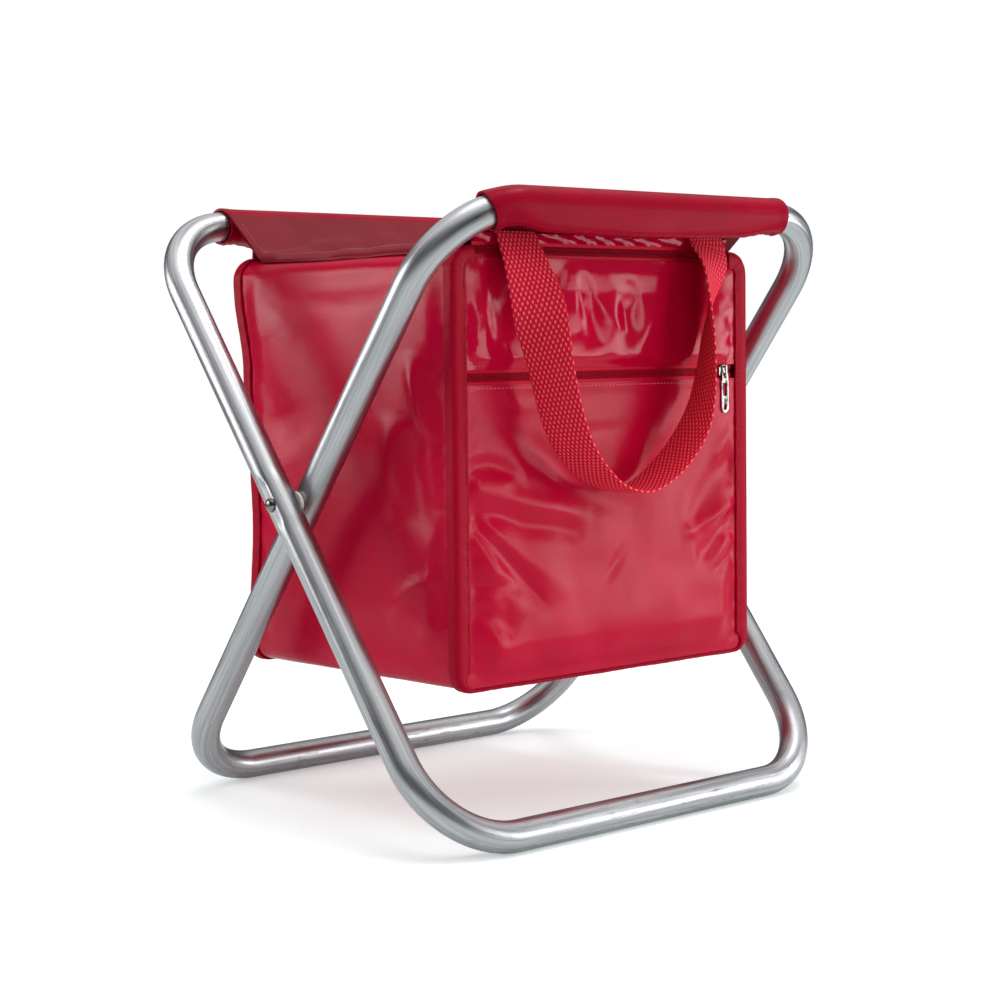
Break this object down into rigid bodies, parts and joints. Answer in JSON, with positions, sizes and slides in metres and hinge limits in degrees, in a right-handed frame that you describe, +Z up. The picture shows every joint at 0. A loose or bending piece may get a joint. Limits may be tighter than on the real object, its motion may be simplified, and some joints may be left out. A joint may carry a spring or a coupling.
{
  "type": "folding cooler stool",
  "caption": "Folding stool of crossed bent-tube leg loops with a cloth seat and an insulated zipped bag hung beneath it.",
  "frame": {"origin": "on the floor, midway between the two foot bars and between the two crossings", "axes": "+Z up, -Y towards the pocket side, +X to the right of someone who faces the pocket"},
  "size_m": [0.3736, 0.3074, 0.3846],
  "materials": {
    "aluminium_tube": "drawn, satin",
    "bright_steel": "bright nickel plate",
    "nylon": "matte",
    "red_cloth": "coated woven cloth, satin",
    "red_tape": "woven tape",
    "red_webbing": "woven webbing",
    "white_foam": "closed-cell foam",
    "liner_film": "heat-sealed film"
  },
  "bodies": {
    "front_leg_loop": {"front_leg_loop": "aluminium_tube", "pivot_rivet_left": "bright_steel", "pivot_rivet_right": "bright_steel", "pivot_washer_left": "nylon", "pivot_washer_right": "nylon", "rear_hem_sleeve": "red_cloth"},
    "rear_leg_loop": {"rear_leg_loop": "aluminium_tube", "front_hem_sleeve": "red_cloth"},
    "bag": {"seat_panel": "red_cloth", "bag_gusset": "red_cloth", "bag_back_panel": "red_cloth", "bag_front_upper": "red_cloth", "bag_pocket_panel": "red_cloth", "bag_front_backing": "red_cloth", "foam_front": "white_foam", "foam_back": "white_foam", "foam_left": "white_foam", "foam_right": "white_foam", "foam_bottom": "white_foam", "foam_top": "white_foam", "liner_tub": "liner_film", "liner_lid": "liner_film", "bag_top_panel": "red_cloth", "bag_top_strip": "red_cloth", "bag_back_strip": "red_cloth", "front_binding": "red_tape", "rear_binding": "red_tape", "pocket_zip_upper_half": "red_tape", "pocket_zip_lower_half": "red_tape", "main_zip_upper_half": "red_tape", "main_zip_lower_half": "red_tape"},
    "pocket_zip_slider": {"pocket_zip_slider": "bright_steel"},
    "pocket_zip_pull": {"pocket_zip_pull": "bright_steel"},
    "main_zip_slider": {"main_zip_slider": "bright_steel"},
    "main_zip_pull": {"main_zip_pull": "bright_steel"},
    "front_handle": {"front_handle": "red_webbing"},
    "rear_handle": {"rear_handle": "red_webbing"}
  },
  "joints": [
    {"name": "fold", "type": "hinge", "parent": "front_leg_loop", "child": "rear_leg_loop", "pos_m": [0, 0, 0.19843], "axis": [-1, 0, 0], "range_deg": [0, 62.7], "deforming": ["seat_panel"]},
    {"name": "bag_hang", "type": "hinge", "parent": "front_leg_loop", "child": "bag", "pos_m": [0, 0, 0.19843], "axis": [-1, 0, 0], "range_deg": [0, 31.4]},
    {"name": "pocket_zip_slide", "type": "slide", "parent": "bag", "child": "pocket_zip_slider", "axis": [1, 0, 0], "range_m": [-0.2057, 0]},
    {"name": "pocket_pull_swing", "type": "hinge", "parent": "pocket_zip_slider", "child": "pocket_zip_pull", "pos_m": [0.1067, -0.1047, 0.27195], "axis": [-1, 0, 0], "range_deg": [0, 120]},
    {"name": "main_zip_slide", "type": "slide", "parent": "bag", "child": "main_zip_slider", "axis": [1, 0, 0], "range_m": [-0.026, 0.182]},
    {"name": "main_pull_swing", "type": "hinge", "parent": "main_zip_slider", "child": "main_zip_pull", "pos_m": [-0.078, -0.1047, 0.34695], "axis": [-1, 0, 0], "range_deg": [0, 8]},
    {"name": "front_handle_swing", "type": "hinge", "parent": "bag", "child": "front_handle", "pos_m": [0, -0.1051, 0.36062], "axis": [-1, 0, 0], "range_deg": [0, 45]},
    {"name": "rear_handle_swing", "type": "hinge", "parent": "bag", "child": "rear_handle", "pos_m": [0, 0.11288, 0.36703], "axis": [1, 0, 0], "range_deg": [0, 25]}
  ],
  "couplings": [
    {"joint": "bag_hang", "follows": "fold", "ratio": 0.5}
  ]
}
